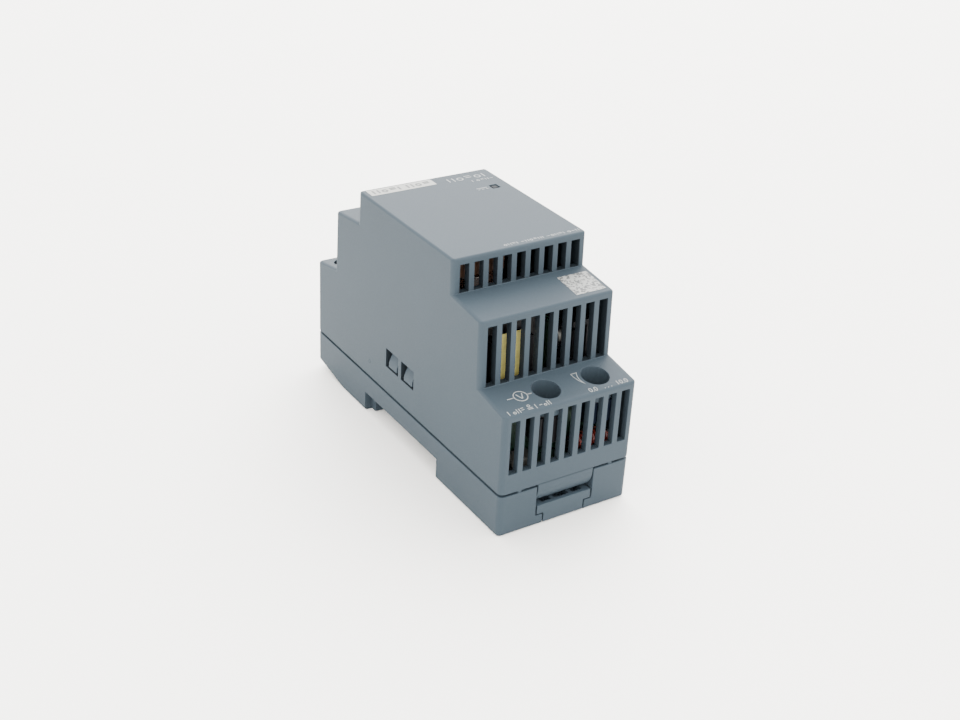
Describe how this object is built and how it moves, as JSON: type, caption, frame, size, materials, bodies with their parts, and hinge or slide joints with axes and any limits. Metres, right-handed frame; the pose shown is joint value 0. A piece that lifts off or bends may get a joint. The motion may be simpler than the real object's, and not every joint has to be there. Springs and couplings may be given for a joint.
{
  "type": "din rail power supply",
  "caption": "Stepped narrow mains power supply that clips to a 35 mm rail, with vented casing, sprung rail latch and screw terminals.",
  "frame": {"origin": "middle of the bottom of the whole object, which lies on its rail side", "axes": "+X across the width, +Y along the length from the vent end to the terminal end, +Z away from the rail"},
  "size_m": [0.036, 0.09, 0.059],
  "materials": {
    "aluminium": "bare sheet",
    "amber_copper": "enamelled copper wire",
    "black_plastic": "black moulded plastic",
    "blue_coat": "epoxy coating",
    "blue_plastic": "blue moulded plastic",
    "board": "green solder mask over glass-fibre laminate",
    "brown_sleeve": "heat-shrink sleeve",
    "casing_plastic": "fine-textured blue-grey moulded plastic",
    "dark_sleeve": "heat-shrink sleeve",
    "ferrite": "sintered ferrite",
    "green_coat": "epoxy coating",
    "green_lens": "diffused epoxy",
    "latch_plastic": "smooth blue-grey moulded plastic",
    "lens": "frosted light guide",
    "red_copper": "red enamelled copper wire",
    "spring_steel": "spring wire",
    "terminal_plastic": "dark grey glass-filled plastic",
    "tinned_copper": "tinned copper alloy",
    "white_plastic": "off-white moulded plastic",
    "yellow_box": "potted box",
    "yellow_tape": "polyester tape",
    "zinc_steel": "zinc-plated steel"
  },
  "bodies": {
    "casing": {"base": "casing_plastic", "bridge_rectifier": "black_plastic", "bulk_capacitor": "brown_sleeve", "contact_in_1": "tinned_copper", "contact_in_2": "tinned_copper", "contact_out_1": "tinned_copper", "contact_out_2": "tinned_copper", "contact_out_3": "tinned_copper", "contact_out_4": "tinned_copper", "control_chip": "black_plastic", "driver_board": "board", "front_board": "board", "fuse": "black_plastic", "hood": "casing_plastic", "indicator_led": "green_lens", "input_terminal_body": "terminal_plastic", "latch_spring": "spring_steel", "light_pipe": "lens", "line_choke_core": "ferrite", "line_choke_winding_1": "amber_copper", "line_choke_winding_2": "amber_copper", "main_board": "board", "optocoupler": "white_plastic", "output_capacitor_1": "dark_sleeve", "output_capacitor_2": "dark_sleeve", "output_choke_core": "ferrite", "output_choke_winding": "red_copper", "output_diode": "black_plastic", "output_heat_sink": "aluminium", "output_heat_sink_screw": "zinc_steel", "output_terminal_body": "terminal_plastic", "power_heat_sink": "aluminium", "power_heat_sink_screw": "zinc_steel", "power_transistor": "black_plastic", "test_socket": "black_plastic", "thermistor": "green_coat", "transformer_bobbin": "black_plastic", "transformer_core_lower": "ferrite", "transformer_core_upper": "ferrite", "transformer_winding": "yellow_tape", "trimmer_body": "blue_plastic", "varistor": "blue_coat", "x_capacitor": "yellow_box", "y_capacitor": "blue_coat"},
    "latch": {"rail_latch": "latch_plastic"},
    "trimmer": {"trimmer_rotor": "white_plastic"},
    "screw_in_1": {"screw_in_1": "zinc_steel"},
    "cage_in_1": {"cage_in_1": "tinned_copper"},
    "screw_in_2": {"screw_in_2": "zinc_steel"},
    "cage_in_2": {"cage_in_2": "tinned_copper"},
    "screw_out_1": {"screw_out_1": "zinc_steel"},
    "cage_out_1": {"cage_out_1": "tinned_copper"},
    "screw_out_2": {"screw_out_2": "zinc_steel"},
    "cage_out_2": {"cage_out_2": "tinned_copper"},
    "screw_out_3": {"screw_out_3": "zinc_steel"},
    "cage_out_3": {"cage_out_3": "tinned_copper"},
    "screw_out_4": {"screw_out_4": "zinc_steel"},
    "cage_out_4": {"cage_out_4": "tinned_copper"}
  },
  "joints": [
    {"name": "latch_slide", "type": "slide", "parent": "casing", "child": "latch", "axis": [0, -1, 0], "range_m": [0, 0.004], "stiffness_N_per_m": 300, "springref_m": -0.002, "deforming": ["latch_spring"]},
    {"name": "trimmer_turn", "type": "hinge", "parent": "casing", "child": "trimmer", "pos_m": [0.0099, -0.0394, 0.0268], "axis": [0, 0, 1], "range_deg": [-135, 135]},
    {"name": "screw_in_1_turn", "type": "hinge", "parent": "casing", "child": "screw_in_1", "pos_m": [-0.0125, 0.03905, 0.0274], "axis": [0, 0, -1], "range_deg": [0, 1728]},
    {"name": "cage_in_1_rise", "type": "slide", "parent": "casing", "child": "cage_in_1", "axis": [0, 0, 1], "range_m": [0, 0.0024]},
    {"name": "screw_in_2_turn", "type": "hinge", "parent": "casing", "child": "screw_in_2", "pos_m": [0.0125, 0.03905, 0.0274], "axis": [0, 0, -1], "range_deg": [0, 1728]},
    {"name": "cage_in_2_rise", "type": "slide", "parent": "casing", "child": "cage_in_2", "axis": [0, 0, 1], "range_m": [0, 0.0024]},
    {"name": "screw_out_1_turn", "type": "hinge", "parent": "casing", "child": "screw_out_1", "pos_m": [-0.01125, 0.02865, 0.0443], "axis": [0, 0, -1], "range_deg": [0, 1728]},
    {"name": "cage_out_1_rise", "type": "slide", "parent": "casing", "child": "cage_out_1", "axis": [0, 0, 1], "range_m": [0, 0.0024]},
    {"name": "screw_out_2_turn", "type": "hinge", "parent": "casing", "child": "screw_out_2", "pos_m": [-0.00375, 0.02865, 0.0443], "axis": [0, 0, -1], "range_deg": [0, 1728]},
    {"name": "cage_out_2_rise", "type": "slide", "parent": "casing", "child": "cage_out_2", "axis": [0, 0, 1], "range_m": [0, 0.0024]},
    {"name": "screw_out_3_turn", "type": "hinge", "parent": "casing", "child": "screw_out_3", "pos_m": [0.00375, 0.02865, 0.0443], "axis": [0, 0, -1], "range_deg": [0, 1728]},
    {"name": "cage_out_3_rise", "type": "slide", "parent": "casing", "child": "cage_out_3", "axis": [0, 0, 1], "range_m": [0, 0.0024]},
    {"name": "screw_out_4_turn", "type": "hinge", "parent": "casing", "child": "screw_out_4", "pos_m": [0.01125, 0.02865, 0.0443], "axis": [0, 0, -1], "range_deg": [0, 1728]},
    {"name": "cage_out_4_rise", "type": "slide", "parent": "casing", "child": "cage_out_4", "axis": [0, 0, 1], "range_m": [0, 0.0024]}
  ],
  "couplings": [
    {"joint": "screw_in_1_turn", "follows": "cage_in_1_rise", "rad_per_m": 12566},
    {"joint": "screw_in_2_turn", "follows": "cage_in_2_rise", "rad_per_m": 12566},
    {"joint": "screw_out_1_turn", "follows": "cage_out_1_rise", "rad_per_m": 12566},
    {"joint": "screw_out_2_turn", "follows": "cage_out_2_rise", "rad_per_m": 12566},
    {"joint": "screw_out_3_turn", "follows": "cage_out_3_rise", "rad_per_m": 12566},
    {"joint": "screw_out_4_turn", "follows": "cage_out_4_rise", "rad_per_m": 12566}
  ]
}
